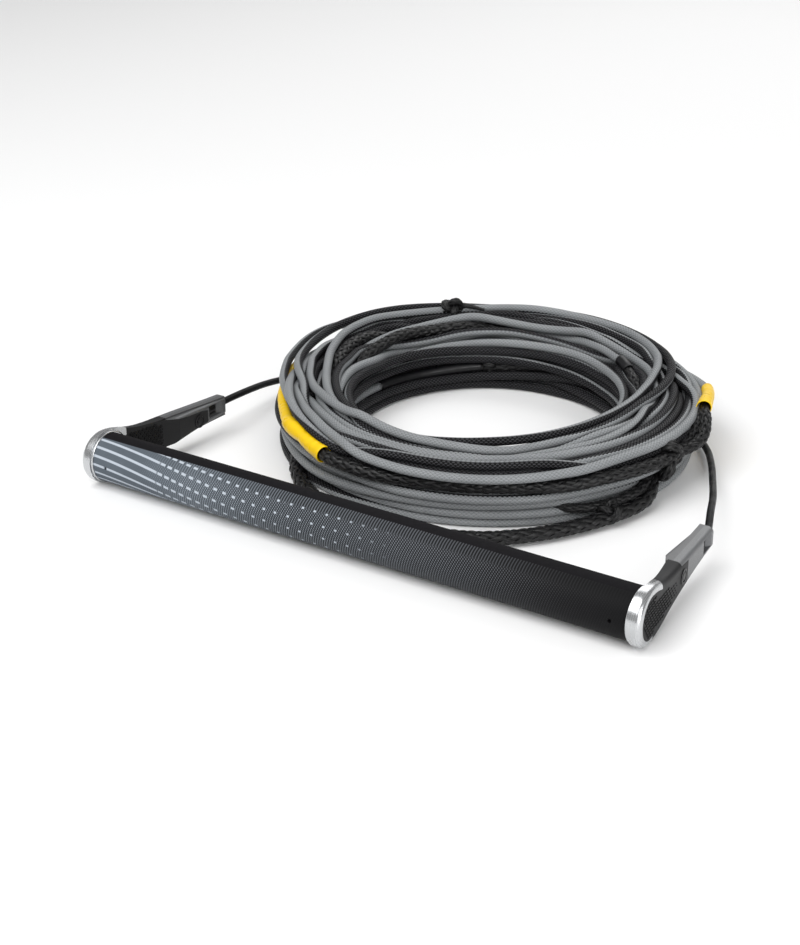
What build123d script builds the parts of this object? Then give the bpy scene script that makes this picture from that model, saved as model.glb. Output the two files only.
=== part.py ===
"""Tow rope handle with its coiled rope: a padded bar with two rigid arms, two bridle lines and a coil.

Frame: +X along the bar, +Y from the bar towards the coil, +Z up, in millimetres.  The origin is under the
middle of the handle, on the surface that it lies on.  The handle's own pieces are drawn about the bar's
axis and then placed by IN_FRAME.  Their right side is drawn, and the left side is its mirror image.
The rope's pieces are drawn where they lie.
"""
import os
from math import atan, cos, degrees, pi, radians, sin, tan

from build123d import *

# ---- handle: driving dimensions, measured from the bar's axis ----------------------------------------------
GRIP_RADIUS = 14.6             # a 1.15 inch grip
GRIP_HALF = 175.0              # half of the padded length
TUBE_RADIUS = 11.0
TUBE_WALL = 1.5
COLLAR_WIDTH = 1.6
COLLAR_RADIUS = 15.5
COLLAR_ROUNDING = 0.5
RING_RADIUS = 16.2             # the end caps are the widest part, and rest on the surface
SPIGOT_LENGTH = 26.0           # how far a cap reaches into the tube
TIP_Y = 94.0                   # the arms' free ends
ARM_TOE_IN = 0.118             # the outer faces come together by this much for each millimetre of Y
ARM_THICKNESS = 8.3
ARM_OUTER_X = 182.1            # outer face beside the bar's axis
SHOULDER_START_Y = 5.0         # the arm's inner face leaves the cap here, above and behind the collar
SHOULDER_END_Y = 40.0          # and is a full thickness under the outer face from here on
SHOULDER_RADIUS = 15.9         # clear of the bar's axis
RIM_ROUNDING = 3.2             # of the arm's outer face
TONGUE_END_Y = 15.0            # the cap's bright tongue runs to here along the arm's upper edge
CAP_EDGE = [(TONGUE_END_Y, 8.9), (9.0, 5.0), (3.5, -3.0)]     # Y and Z of the cap's edge under the tongue
TOP_EDGE = [(17.0, 12.7), (45.0, 10.5), (TIP_Y, 9.0)]         # Y and Z of the arm's upper edge
LOW_EDGE = [(TIP_Y, -3.5), (54.0, -6.9), (28.0, -11.5)]       # and of its lower edge
EDGE_SLOPE = (-0.02, 0.03)     # rise of the upper and lower edges per millimetre of Y at the tip
BULGE_START_Y = 40.0           # where the inner shell swells out
BULGE_FULL_Y = 51.5
BULGE_X = (163.6, 162.2)       # its inner face, at BULGE_FULL_Y and at the tip
BULGE_INSET = 0.9              # the swelling stays this far inside the arm's outline
BULGE_ROUNDING = 2.0
BULGE_ROOT = 3.0               # how deep the swelling is joined to the arm
PARTING_DEPTH = 5.4            # the two shells meet this far under the outer face
CORE_THICKNESS = 2.8
CORE_INSET = 3.2               # rubber over the core's edge
CORE_END_Y = 73.0
INSERT_DEPTH = 2.4             # rubber over the outside of the cap
BAND_WIDTH = 4.0               # bright band left around that rubber
# Y and Z of the edges where the grey shells meet the rubber, outside and inside.
SHELL_OUTSIDE_EDGE = [(54.0, 8.0), (44.0, 8.6)]
SHELL_INSIDE_EDGE = [(77.5, 5.4), (72.0, 6.6), (60.0, 7.4), (49.0, 8.8), (44.0, 9.6)]
SLOT_Y = (78.5, 87.0)          # the window over the line's stopper
SLOT_Z = (0.1, 6.5)
SLOT_LEAD = 0.7                # the slope round the window is this much taller
SLOT_LEAD_DEPTH = 2.2
SLOT_LEAD_END_Y = 92.0
SLOT_LEAD_RUNOUT = 0.5         # the slope ends this far clear of the face
VENT_X = 166.0
VENT_RADIUS = 1.1
BADGE_RADIUS = 4.3
BADGE_THICKNESS = 1.4
BADGE_GROOVE = (3.2, 2.2)      # outer and inner radius of the groove in its face
BADGE_GROOVE_DEPTH = 0.3
BADGE_PROUD = 0.4              # how far it stands out of the arm
OUTER_BADGE = (47.5, 1.2)      # Y and Z of the badges' middles
INNER_BADGE = (69.5, 0.8)
CLEARANCE = 0.05               # between a piece and its pocket

# ---- lines and rope ----------------------------------------------------------------------------------------
BRIDLE_DIAMETER = 4.3
BRIDLE_X = 166.6               # where a line leaves the tip
BRIDLE_Z = 3.3
BRAID_DIAMETER = 9.5           # bare hollow braid of the loops and splices
SLEEVE_DIAMETER = 8.0          # shrink sleeve over a splice
LABEL_DIAMETER = 7.0
LABEL_GAP = 1.0                # between a label's sleeve and the coil's inside
ARC_SHARE = 0.45               # of the shorter run beside a corner, what the corner's arc takes up
STOPPER_RADIUS = 3.0
STOPPER_GAP = 0.4              # between the stopper and the window's ends
STOPPER_ROUNDING = 0.8

WELL_CLEAR = 25.0              # a height or a distance past anything on an arm
EITHER_SIDE_X = (150.0, 195.0)   # the arm lies between these
TOUCHING = 0.01                # closer than this, a point is on a face

BAR_Y = (RING_RADIUS - TIP_Y) / 2
BAR_Z = RING_RADIUS
IN_FRAME = Location((0, BAR_Y, BAR_Z))
CAP_X = GRIP_HALF + COLLAR_WIDTH

# ---- the swing of the handle on its two lines --------------------------------------------------------------
PIVOT_REACH = 12.0             # the lines bend this far past the tips
PIVOT_GAP = 5.0                # each line's solids stop this far from the bend
STUB_END_Y = TIP_Y + PIVOT_REACH - PIVOT_GAP
BRIDLE_START_Y = TIP_Y + PIVOT_REACH + PIVOT_GAP + BAR_Y

# ---- the coil: about 35 turns of rope in one loose bundle --------------------------------------------------
COIL_CENTRE = (-21.0, 136.0)
COIL_INNER = 86.0
COIL_OUTER = 132.0
COIL_HEIGHT = 40.0
COIL_ROUNDING = 9.0

# ---- routes of what lies outside the coil, in the frame ----------------------------------------------------
BRIDLE_ROUTES = {
    "bridle_right": [
        (BRIDLE_X, BRIDLE_START_Y, BAR_Z + BRIDLE_Z), (160.5, 85, 19.4), (147.5, 107, 17),
        (133, 135, 12.5), (119, 164, 7.5), (103, 192, 4.2), (84, 213, 4),
    ],
    "bridle_left": [
        (-BRIDLE_X, BRIDLE_START_Y, BAR_Z + BRIDLE_Z), (-166.4, 84, 18.6), (-168.6, 101, 16),
        (-170.5, 121, 12), (-167, 145, 8), (-157, 168, 5), (-140.5, 186, 4),
    ],
}
TOW_LINE_ROUTE = [
    (-90, 31, 4.9), (-62, 3, 4.9), (-25, -6, 4.9), (15, -5, 4.9), (51, 6, 4.9), (76, 30, 4.9), (94, 56, 4.9),
    (107, 86, 4.9), (101, 115, 4.9),
]
LOOP_ROUTE = [(92, 201, 38), (107, 186, 40), (118, 165, 36), (118, 147, 28), (106, 133, 23)]
SLEEVE_ROUTES = {
    "sleeve_left": [(-142, 108, 33), (-122, 68, 33), (-95, 38, 32), (-63, 14, 30)],
    "sleeve_right": [(82, 222, 38), (92, 210, 40), (101, 196, 40)],
}
KNOTS = {"knot_right": (105, 131.5, 23.5, 9.5), "knot_top": (-106, 231, 41, 7.0)}   # centre and radius
# From and to which angle round the coil, and at what height.
LABEL_TURNS = {
    "label_sleeve_1": (124, 172, 13), "label_sleeve_2": (84, 98, 28), "label_sleeve_3": (52, 66, 14),
}


# ---- helpers -----------------------------------------------------------------------------------------------
def arm_outer_x(y):
    return ARM_OUTER_X - ARM_TOE_IN * y


def on_plane_under_face(depth, y):
    """A plan point that far under the arm's outer face."""
    return (arm_outer_x(y) - depth, y)


def along_x(x_from, x_to, radius, hole=0.0):
    """A cylinder or a tube about the bar's axis."""
    solid = Cylinder(radius, x_to - x_from)
    if hole:
        solid -= Cylinder(hole, x_to - x_from)
    return Pos((x_from + x_to) / 2, 0, 0) * Rot(0, 90, 0) * solid


def along_y(x, z, y_from, y_to, radius):
    """A cylinder along Y."""
    return Pos(x, (y_from + y_to) / 2, z) * Rot(90, 0, 0) * Cylinder(radius, y_to - y_from)


def side_region(face):
    """What lies inside a face drawn in Y and Z, through the whole arm."""
    x_from, x_to = EITHER_SIDE_X
    plane = Plane(origin=(x_from, 0, 0), x_dir=(0, 1, 0), z_dir=(1, 0, 0))
    return extrude(plane * face, x_to - x_from)


def side_polygon(*points):
    return side_region(make_face(Polyline(*points, close=True)))


def side_beyond(edge, y_far):
    """What lies beyond an edge drawn in Y and Z, and above its last point."""
    return side_polygon(
        (edge[0][0], -WELL_CLEAR), *edge, (edge[-1][0], WELL_CLEAR), (y_far, WELL_CLEAR),
        (y_far, -WELL_CLEAR),
    )


def plan_region(*points, low=-WELL_CLEAR, high=WELL_CLEAR):
    """What lies inside a polygon drawn in X and Y."""
    return extrude(Plane.XY.offset(low) * make_face(Polyline(*points, close=True)), high - low)


def under_face(depth_from, depth_to, y_from=-WELL_CLEAR, y_to=TIP_Y + 5.0):
    """A slab parallel to the arm's outer face, between two depths under it."""
    return plan_region(
        on_plane_under_face(depth_from, y_from), on_plane_under_face(depth_from, y_to),
        on_plane_under_face(depth_to, y_to), on_plane_under_face(depth_to, y_from),
    )


def write(name, part):
    """Write one node."""
    solids = part.solids()
    shape = solids[0] if len(solids) == 1 else Compound(children=solids)
    shape.label = name
    export_step(shape, f"parts/{name}.step")


def write_pair(name, part):
    """Write the right and left versions of a handle piece."""
    write(f"{name}_right", IN_FRAME * part)
    write(f"{name}_left", IN_FRAME * mirror(part, Plane.YZ))


# ---- the bar -----------------------------------------------------------------------------------------------
def build_bar():
    tube_inside = TUBE_RADIUS - TUBE_WALL
    tube = along_x(-CAP_X, CAP_X, TUBE_RADIUS, tube_inside)
    grip = along_x(-GRIP_HALF, GRIP_HALF, GRIP_RADIUS, TUBE_RADIUS + CLEARANCE)
    for side in (-1, 1):
        grip -= along_y(side * VENT_X, 0, -GRIP_RADIUS - 1, -TUBE_RADIUS, VENT_RADIUS)
    float_half = CAP_X - SPIGOT_LENGTH - 1
    write("core_tube", IN_FRAME * tube)
    write("grip_cover", IN_FRAME * grip)
    write("foam_float", IN_FRAME * along_x(-float_half, float_half, tube_inside - CLEARANCE))
    collar = along_x(GRIP_HALF, CAP_X, COLLAR_RADIUS, TUBE_RADIUS + CLEARANCE)
    rims = collar.edges().filter_by(GeomType.CIRCLE).sort_by(SortBy.RADIUS)[-2:]
    write_pair("collar", fillet(rims, COLLAR_ROUNDING))


# ---- the right arm -----------------------------------------------------------------------------------------
def arm_profile(inset=0.0):
    """The arm seen from its side, in Y and Z: round at the bar, tapering to the tip."""
    radius = RING_RADIUS - inset
    top = [(0, radius)] + [(y, z - inset) for y, z in TOP_EDGE]
    low = [(y, z + inset) for y, z in LOW_EDGE] + [(0, -radius)]
    return make_face([
        Spline(*top, tangents=[(1, 0), (1, EDGE_SLOPE[0])]),
        Line(top[-1], low[0]),
        Spline(*low, tangents=[(-1, -EDGE_SLOPE[1]), (-1, 0)]),
        ThreePointArc(low[-1], (-radius, 0), top[0]),
    ])


def on_outer_face(edge):
    return all(abs((edge @ t).X - arm_outer_x((edge @ t).Y)) < TOUCHING for t in (0, 0.5, 1))


def on_swollen_face(edge):
    middle = edge @ 0.5
    along = BULGE_FULL_Y + TOUCHING < middle.Y < TIP_Y - TOUCHING
    return along and BULGE_X[1] - TOUCHING < middle.X < BULGE_X[0] + TOUCHING


def arm_blank():
    """The whole right arm with the outer part of its cap, as one form."""
    plan = plan_region(
        (CAP_X, -WELL_CLEAR), on_plane_under_face(0, -WELL_CLEAR), on_plane_under_face(0, TIP_Y),
        on_plane_under_face(ARM_THICKNESS, TIP_Y), on_plane_under_face(ARM_THICKNESS, SHOULDER_END_Y),
        (CAP_X, SHOULDER_START_Y),
    )
    slab = side_region(arm_profile()) & plan
    outer_rim = [e for e in slab.edges() if on_outer_face(e) and (e @ 0.5).Y < TIP_Y - TOUCHING]
    slab = fillet(outer_rim, RIM_ROUNDING) - along_x(CAP_X - ARM_THICKNESS, CAP_X, SHOULDER_RADIUS)
    root = ARM_THICKNESS - BULGE_ROOT
    swell = plan_region(
        on_plane_under_face(root, BULGE_START_Y), on_plane_under_face(ARM_THICKNESS, BULGE_START_Y),
        (BULGE_X[0], BULGE_FULL_Y), (BULGE_X[1], TIP_Y), on_plane_under_face(root, TIP_Y),
    )
    bulge = side_region(arm_profile(BULGE_INSET)) & swell
    return slab + fillet([e for e in bulge.edges() if on_swollen_face(e)], BULGE_ROUNDING)


def badge(face_x, place, outward, angle):
    """A round inlay with a grooved face, standing slightly proud of the arm."""
    wide, narrow = BADGE_GROOVE
    groove = Cylinder(wide, BADGE_GROOVE_DEPTH) - Cylinder(narrow, BADGE_GROOVE_DEPTH)
    face_z = (BADGE_THICKNESS - BADGE_GROOVE_DEPTH) / 2
    disc = Cylinder(BADGE_RADIUS, BADGE_THICKNESS) - Pos(0, 0, face_z) * groove
    sunk = Pos(0, 0, BADGE_PROUD - BADGE_THICKNESS / 2) * disc
    return Pos(face_x, *place) * Rot(0, 0, angle) * Rot(0, 90 * outward, 0) * sunk


def build_arms():
    blank = arm_blank()
    core = blank & side_region(arm_profile(CORE_INSET))
    core &= under_face(INSERT_DEPTH, INSERT_DEPTH + CORE_THICKNESS, y_to=CORE_END_Y)
    insert = side_region(arm_profile(BAND_WIDTH)) & under_face(-1, INSERT_DEPTH, y_to=TONGUE_END_Y)

    bright = side_polygon(
        (-WELL_CLEAR, -WELL_CLEAR), (-WELL_CLEAR, WELL_CLEAR), (TONGUE_END_Y, WELL_CLEAR),
        *CAP_EDGE, (CAP_EDGE[-1][0], -WELL_CLEAR),
    )
    spigot = along_x(CAP_X - SPIGOT_LENGTH, CAP_X + 1, TUBE_RADIUS - TUBE_WALL - CLEARANCE)
    cap = (blank & bright) + spigot - insert - core

    shell_outside = side_beyond(SHELL_OUTSIDE_EDGE, TIP_Y + WELL_CLEAR)
    shell_inside = side_beyond(SHELL_INSIDE_EDGE, TIP_Y + WELL_CLEAR)
    (window_start, window_end), (low, high) = SLOT_Y, SLOT_Z
    window = side_polygon(
        (window_start, low), (window_end, low), (window_end, high), (window_start, high),
    )
    lead = {"low": low - SLOT_LEAD, "high": high + SLOT_LEAD}
    lead_outside = plan_region(
        on_plane_under_face(-SLOT_LEAD_RUNOUT, window_start),
        on_plane_under_face(SLOT_LEAD_DEPTH, window_start), on_plane_under_face(SLOT_LEAD_DEPTH, window_end),
        on_plane_under_face(-SLOT_LEAD_RUNOUT, SLOT_LEAD_END_Y), **lead,
    )
    lead_x = BULGE_X[1] + SLOT_LEAD_DEPTH
    lead_inside = plan_region(
        (lead_x - ARM_THICKNESS, window_start), (lead_x, window_start), (lead_x, window_end),
        (BULGE_X[1] - SLOT_LEAD_RUNOUT, SLOT_LEAD_END_Y), **lead,
    )
    bore = along_y(BRIDLE_X, BRIDLE_Z, window_end - 1, TIP_Y + 1, BRIDLE_DIAMETER / 2 + CLEARANCE)
    opened = blank - window - lead_outside - lead_inside - bore - core
    outer_half = under_face(-WELL_CLEAR, PARTING_DEPTH)
    inner_half = under_face(PARTING_DEPTH, WELL_CLEAR)
    shell_outer = opened & shell_outside & outer_half
    shell_inner = opened & shell_inside & inner_half

    toe_in = degrees(atan(ARM_TOE_IN))
    outer_badge = badge(arm_outer_x(OUTER_BADGE[0]), OUTER_BADGE, 1, toe_in)
    slope = (BULGE_X[0] - BULGE_X[1]) / (TIP_Y - BULGE_FULL_Y)
    inner_badge_x = BULGE_X[0] - slope * (INNER_BADGE[0] - BULGE_FULL_Y)
    inner_badge = badge(inner_badge_x, INNER_BADGE, -1, degrees(atan(slope)))

    rubber = (blank & insert) + (blank - bright - shell_outside - inner_half)
    rubber += (blank - bright - shell_inside) & inner_half
    rubber = rubber - core - outer_badge - inner_badge

    stopper_end = window_end - STOPPER_GAP
    stopper = along_y(BRIDLE_X, BRIDLE_Z, window_start + STOPPER_GAP, stopper_end, STOPPER_RADIUS)
    stub = along_y(BRIDLE_X, BRIDLE_Z, stopper_end, STUB_END_Y, BRIDLE_DIAMETER / 2)
    write_pair("end_cap", cap)
    write_pair("arm_core", core)
    write_pair("arm_rubber", rubber)
    write_pair("shell_outer", shell_outer)
    write_pair("shell_inner", shell_inner)
    write_pair("badge_outer", outer_badge)
    write_pair("badge_inner", inner_badge)
    write_pair("line_stopper", fillet(stopper.edges().filter_by(GeomType.CIRCLE), STOPPER_ROUNDING))
    write_pair("line_stub", stub)


# ---- the rope ----------------------------------------------------------------------------------------------
def cord(name, route, diameter):
    """A round tube along straight runs joined by arcs as large as the runs allow."""
    points = [Vector(*p) for p in route]
    radii = []
    for before, here, after in zip(points, points[1:], points[2:]):
        turn = radians((here - before).get_angle(after - here))
        shorter = min((here - before).length, (after - here).length)
        radii.append(ARC_SHARE * shorter / tan(turn / 2))
    path = FilletPolyline(*points, radius=radii)
    section = Plane(origin=path @ 0, z_dir=path % 0) * Circle(diameter / 2)
    tube = sweep(section, path=path)
    expected = pi * diameter ** 2 / 4 * path.length
    print(f"{name}: length {path.length:.0f} mm, radii {[round(r) for r in radii]},",
          f"volume ratio {tube.volume / expected:.4f}")
    write(name, tube)


def coil_arc(turn, radius, z, diameter):
    """A short curved tube that follows the coil, for a sleeve on one of its turns."""
    cx, cy = COIL_CENTRE
    start, end = (Vector(cx + radius * cos(a), cy + radius * sin(a), z) for a in map(radians, turn))
    middle_angle = radians(sum(turn) / 2)
    middle = Vector(cx + radius * cos(middle_angle), cy + radius * sin(middle_angle), z)
    path = ThreePointArc(start, middle, end)
    return sweep(Plane(origin=path @ 0, z_dir=path % 0) * Circle(diameter / 2), path=path)


def build_rope():
    section = Pos((COIL_INNER + COIL_OUTER) / 2, COIL_HEIGHT / 2) * RectangleRounded(
        COIL_OUTER - COIL_INNER, COIL_HEIGHT, COIL_ROUNDING)
    write("coil", Pos(*COIL_CENTRE) * revolve(Plane.XZ * section, Axis.Z))
    for name, route in BRIDLE_ROUTES.items():
        cord(name, route, BRIDLE_DIAMETER)
    cord("tow_line", TOW_LINE_ROUTE, BRAID_DIAMETER)
    cord("loop_right", LOOP_ROUTE, BRAID_DIAMETER)
    for name, route in SLEEVE_ROUTES.items():
        cord(name, route, SLEEVE_DIAMETER)
    for name, (x, y, z, radius) in KNOTS.items():
        write(name, Pos(x, y, z) * Sphere(radius))
    label_radius = COIL_INNER + LABEL_GAP + LABEL_DIAMETER / 2
    for name, (turn_from, turn_to, z) in LABEL_TURNS.items():
        write(name, coil_arc((turn_from, turn_to), label_radius, z, LABEL_DIAMETER))


if __name__ == "__main__":
    os.makedirs("parts", exist_ok=True)
    build_bar()
    build_arms()
    build_rope()
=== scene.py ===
"""Looks of the tow rope handle and its coil: braided rope, sleeves, knots, materials, light and camera."""
import math

import bpy
import numpy as np
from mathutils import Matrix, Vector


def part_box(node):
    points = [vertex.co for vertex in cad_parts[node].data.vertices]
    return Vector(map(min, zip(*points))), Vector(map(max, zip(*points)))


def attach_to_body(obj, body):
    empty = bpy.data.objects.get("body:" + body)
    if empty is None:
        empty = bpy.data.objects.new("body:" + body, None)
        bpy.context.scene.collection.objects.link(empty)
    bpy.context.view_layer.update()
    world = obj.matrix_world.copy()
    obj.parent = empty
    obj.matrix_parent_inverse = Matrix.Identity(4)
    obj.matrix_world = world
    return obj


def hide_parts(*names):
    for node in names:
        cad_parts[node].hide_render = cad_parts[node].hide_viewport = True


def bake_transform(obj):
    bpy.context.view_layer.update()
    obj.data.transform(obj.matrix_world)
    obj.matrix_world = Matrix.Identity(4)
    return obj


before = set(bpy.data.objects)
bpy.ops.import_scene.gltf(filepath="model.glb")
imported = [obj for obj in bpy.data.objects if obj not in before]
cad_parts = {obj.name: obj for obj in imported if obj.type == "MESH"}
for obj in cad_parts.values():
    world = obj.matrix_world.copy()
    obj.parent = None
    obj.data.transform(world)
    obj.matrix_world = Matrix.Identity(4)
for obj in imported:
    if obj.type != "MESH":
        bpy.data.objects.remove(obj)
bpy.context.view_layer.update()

MM = 0.001
TINY = 1e-6
RNG = np.random.default_rng(11)

# ---- places taken from the frame ----
COIL_LOW, COIL_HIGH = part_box("coil")
COIL_X = (COIL_LOW[0] + COIL_HIGH[0]) / 2
COIL_Y = (COIL_LOW[1] + COIL_HIGH[1]) / 2
COIL_OUTER = (COIL_HIGH[0] - COIL_LOW[0]) / 2
COIL_WIDTH = 46 * MM
GRIP_LOW, GRIP_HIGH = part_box("grip_cover")
BAR_Y = (GRIP_LOW[1] + GRIP_HIGH[1]) / 2
BAR_Z = (GRIP_LOW[2] + GRIP_HIGH[2]) / 2
GRIP_RADIUS = (GRIP_HIGH[2] - GRIP_LOW[2]) / 2

# ---- diameters ----
ROPE = 5.5 * MM
LINE = 4.3 * MM
BRAID = 9.0 * MM
SLEEVE = 8.0 * MM
CORNER_BRAID = 0.95 * BRAID
LOOP_BRAID = 7.6 * MM
THIN_BRAID = 6.6 * MM  # the loop's inner leg, and the second leg of the eye
TOW_LINE_BRAID = 9.5 * MM
KNOT_END_BRAID = 4.6 * MM

# ---- routes of the free stretches, in millimetres ----
# Those that the CAD has too keep near its routes, and leave them where two pieces would meet.
BRIDLE_X, BRIDLE_Z = 166.6, 19.5
# The bridles bend just past the tips, where the handle swings on them, and go on into the coil.
BRIDLE_START_Y = (48.2, 54)
BRIDLE_PATHS = {
    "right": [
        (165.6, 60, 19.6), (161.5, 70, 19.6), (156, 83, 19.4), (147, 106, 17), (133, 135, 12.5),
        (119, 164, 7.5), (103, 192, 4.2),
    ],
    "left": [
        (-BRIDLE_X, 62, BRIDLE_Z), (-166.2, 72, 19.4), (-166.4, 84, 18.6), (-168.6, 101, 16),
        (-170.5, 121, 12), (-167, 145, 8), (-157, 168, 5),
    ],
}
# The bare tow line's route, in front of the coil.
TOW_LINE_ROUTE = [
    (-102, 63, 9), (-99, 45, 6.5), (-88, 27, 4.9), (-62, 3, 4.9), (-25, -6, 4.9), (15, -5, 4.9),
    (51, 6, 4.9), (76, 30, 4.9), (91, 54, 4.9), (100, 74, 5.2), (107, 93, 6), (108, 107, 8.5), (102, 118, 13),
]
EYE_LEG_ROUTE = [
    (98, 121, 18), (103.5, 110, 15), (104, 97, 12.5), (100, 85, 11.5), (94, 73, 11), (86, 64, 10),
    (77, 59, 10.5), (67, 57, 13),
]
LOOP_ROUTE = [
    (101, 189, 36.7), (105.6, 177, 37.5), (112.5, 166, 33.5), (116, 156, 27.5), (113, 145, 24.5),
    (106, 129, 23.5),
]
LOOP_INNER_ROUTE = [
    (100.6, 188, 36), (103.8, 178, 36.8), (107, 168, 33.5), (109, 157, 28), (107, 145, 24), (101, 129, 22),
]
LOOP_FEED_ROUTE = [
    (-50, 246, 9), (-36, 256, 10), (-10, 264.5, 14), (20, 262.5, 21), (46, 252, 25.5), (69, 236, 28.5),
    (87.8, 219.2, 31), (93.5, 210, 32.6),
]
SLEEVE_RIGHT_ROUTE = [(87.8, 219.2, 31), (96.7, 203, 34), (101.4, 188, 36.8), (105.8, 176.2, 37.5)]
KNOT_END_ROUTE = [(-114, 224, 38), (-107, 230, 42), (-101, 235, 43.5), (-95, 238.5, 42.5), (-88, 242, 40.5)]

# ---- knots: middle and size in millimetres, the braid's diameter, and the turn and tip in radians ----
KNOTS = {
    "knot_right_tied": ((104.5, 125.5, 23), 20.5, LOOP_BRAID, (0.5, 1.1)),
    "knot_top_tied": ((-106, 230, 42), 11.5, 5.4 * MM, (0.4, 0.9)),
    "eye_knot": ((98.5, 74, 8.5), 12, 5.2 * MM, (1.1, 0.4)),
}
BACK_KNOT_LIFT = 0.5
BACK_KNOT = (9, 4.6 * MM, (2.2, 0.9))


# ---- camera ----
CAMERA_PLACE = (0.5647, -0.8422, 0.5002)
CAMERA_DIP, CAMERA_TURN = 24.63, 33.61  # degrees below level, and from +Y towards -X
LENS, SENSOR_WIDTH = 90, 36


def make_camera():
    data = bpy.data.cameras.new("camera")
    data.sensor_fit = "HORIZONTAL"
    data.sensor_width = SENSOR_WIDTH
    data.lens = LENS
    camera = bpy.data.objects.new("camera", data)
    camera.location = CAMERA_PLACE
    camera.rotation_euler = (math.radians(90 - CAMERA_DIP), 0, math.radians(CAMERA_TURN))
    bpy.context.scene.collection.objects.link(camera)
    bpy.context.scene.camera = camera


make_camera()


# ---- the coil's turns ----
# A place in the coil is an angle round its centre in degrees, a radius and a height in millimetres.
SLICES = 96  # planes round the coil in which the strands are kept apart
SLICE_ANGLE = 360 / SLICES
STRAND_GAP = 0.2
INNER_WALL = (COIL_OUTER - COIL_WIDTH) / MM
INNER_MARGIN = 5  # how far inside the CAD's inner wall a strand may go

# The upper turns lie where they were dropped: they cross each other, and fan out at the back.
CROSS_UNDER = [
    (125, 131, 36), (150, 137, 37), (165, 141, 38), (174, 141, 38), (184, 136, 37), (195, 130, 36),
    (206, 126, 35), (218, 122, 34), (230, 120, 33), (245, 119, 30), (262, 119, 27),
]
OUTER_EDGE = [
    (172, 121, 31), (190, 119, 34), (208, 116, 35), (233, 116, 36), (244, 119, 36), (256, 123, 36),
    (267, 127, 35), (286, 130, 34), (300, 131, 33.5), (317, 129, 34), (340, 125, 34), (363, 127, 34),
    (376, 128, 34), (385, 126, 34), (394, 122, 34), (408, 118, 33), (424, 115, 33), (432, 118, 34),
    (444, 122, 35), (456, 123, 35), (467, 120, 35), (485, 117, 33),
]
INNER_EDGE = [
    (150, 125, 33), (175, 122, 35), (190, 119, 36.5), (210, 109, 37), (229, 99, 37), (252, 91, 36),
    (275, 90, 35), (290, 92, 35), (306, 97, 35), (325, 93, 35), (342, 91, 36), (362, 92, 37),
    (379, 99, 37), (394, 110, 37), (405, 119, 37), (420, 127, 37), (436, 133, 37.5), (450, 136, 38),
    (463, 136, 38), (484, 134, 38), (504, 137, 39), (520, 138, 39.5), (528, 137, 39.5), (536, 132, 39),
    (548, 126, 39.5), (560, 121, 39.5), (572, 115, 37), (590, 112, 30),
]
TOPMOST = [
    (222, 99, 30), (238, 93, 31), (254, 88, 32), (270, 86, 33), (285, 85.5, 34.5), (300, 85, 36.5),
    (328, 85, 38), (350, 85, 38.5), (368, 88, 38.5), (382, 93, 38.5),
    (396, 101, 39), (408, 111, 39), (420, 121, 39), (438, 131, 39), (460, 132, 39), (483, 129, 39),
    (505, 128, 40), (520, 128, 41), (531, 122, 41), (543, 111, 40.5), (558, 102, 39), (573, 98, 37),
    (588, 96, 34), (605, 95, 30), (625, 94, 26),
]
# The last turn ends in the left yellow sleeve, and its bare braid goes on along the front.
INTO_SLEEVE = [
    (110, 122, 26), (150, 127, 27), (175, 128, 30), (193, 125, 33), (214, 123, 33), (233, 124, 32),
    (251, 129, 30), (258, 129.5, 29), (264, 129, 29), (270, 127, 29), (277, 125, 28), (286, 122, 27),
    (297, 121, 26.5), (308, 122, 27), (318, 125, 28), (326, 128, 28.5), (334, 129, 28.5), (343, 129, 28),
    (352, 130, 26.5), (360, 130, 24),
]
# Angles along it: the sleeve's two ends, and in the sleeve the cover's end and the bare braid's start.
SLEEVE_LEFT_FROM, SLEEVE_LEFT_TO = 190, 256
COVER_TO, BRAID_FROM = 252, 250
# Each passage goes with the way its grey half faces along it, in turns: 0 is out, 0.25 up, 0.5 in, 0.75 down.
PASSAGES = [
    (CROSS_UNDER, [0.05, 0.02, 0.02, 0.1]),
    (OUTER_EDGE, [0.1, 0.1, 0.12, 0.1, -0.05, -0.15, -0.15]),
    (INNER_EDGE, [0.1, 0.12, 0.1, -0.1, -0.25, -0.3, -0.25, -0.15, 0.05, 0.1]),
    (TOPMOST, [0.5, 0.5, 0.42, 0.32, 0.3, 0.3, 0.28, 0.25, 0.2, 0.2]),
    (INTO_SLEEVE, [0.1, 0.1]),
]
PASSAGE_GAP = 35  # degrees left between two passages, at least
# Ways that a loose turn faces along the front, by where it lies in the bundle.
FACINGS = {
    "outside": (0.0, 0.06, -0.3, -0.42),
    "inside": (0.0, 0.04, -0.06, -0.04),
    "top": (0.5, -0.33, 0.02, -0.28),
}
# At the back the turns show their black half to the inside, and little more than an edge of grey.
BACK_FACINGS = (-0.05, 0.0, -0.08, 0.05)
FACING_SPREAD = 0.04
DRAWN_PULL, BRIDLE_PULL, LOOSE_PULL = 0.3, 0.1, 0.02

# The section of the bundle that the loose turns fill, in millimetres.
LOOSE_TURNS = 31
ROW_HEIGHTS = (3.2, 9, 14.8, 20.6, 26.4, 31.8)
COLUMNS, COLUMN_PITCH = 7, 6.4
NEAREST_PLACE, FARTHEST_PLACE = 86.5, 122.0
CORE_COLUMNS, CORE_ROWS = (2, 3, 4), (0, 1, 2)
HOLLOW_ROWS, HOLLOW_DEPTH = (2, 3), 1.5
FIRST_PLACE = 2
PLACE_WANDER, KEY_WANDER = 16, 1.5
TOP_HEIGHT, OUTSIDE_RADIUS = 24, 105
KEY_SHARES = (0, 0.16, 0.33, 0.5, 0.66, 0.83)
CHANGE_LENGTH = 0.3  # share of a turn in which it goes over to its next place
COIL_LEAN, COIL_LEAN_ANGLE = 2.0, 110


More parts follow.
